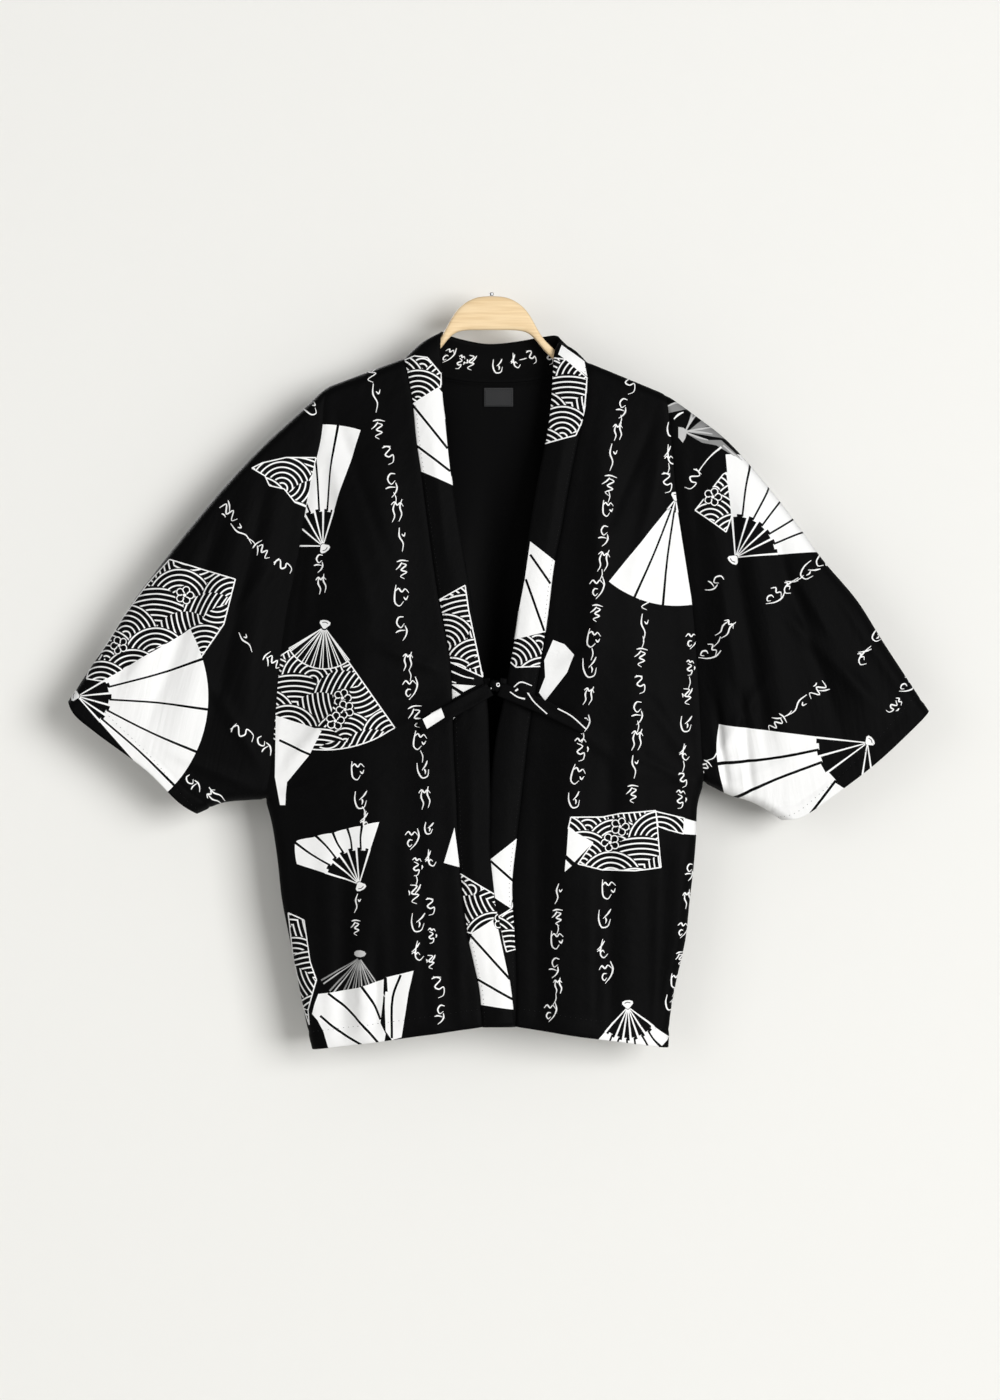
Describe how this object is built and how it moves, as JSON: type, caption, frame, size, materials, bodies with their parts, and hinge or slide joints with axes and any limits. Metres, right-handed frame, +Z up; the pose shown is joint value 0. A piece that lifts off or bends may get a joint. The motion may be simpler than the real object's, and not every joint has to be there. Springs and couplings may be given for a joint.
{
  "type": "kimono jacket on a wooden hanger",
  "caption": "Short-sleeved printed cotton kimono jacket with a long collar band and knotted chest ties, hanging flat and open-hemmed from a plain wooden hanger.",
  "frame": {"origin": "top of the short steel stub that stands on the hanger's hump", "axes": "+Z up; the jacket's front faces -Y; +X runs to the right of a viewer who faces the front"},
  "size_m": [0.984, 0.0785, 0.865],
  "materials": {
    "printed_cotton": "matte plain weave with a white print",
    "label_cloth": "matte woven tab",
    "wood": "satin pale wood",
    "steel": "satin"
  },
  "bodies": {
    "root": {"back": "printed_cotton", "front_left": "printed_cotton", "front_right": "printed_cotton", "sleeve_left": "printed_cotton", "sleeve_right": "printed_cotton", "collar_band": "printed_cotton", "tie_root_left": "printed_cotton", "tie_root_right": "printed_cotton", "tie_end_left": "printed_cotton", "tie_end_right": "printed_cotton", "tie_knot": "printed_cotton", "neck_label": "label_cloth", "hanger_body": "wood", "hanger_stub": "steel"}
  },
  "joints": []
}
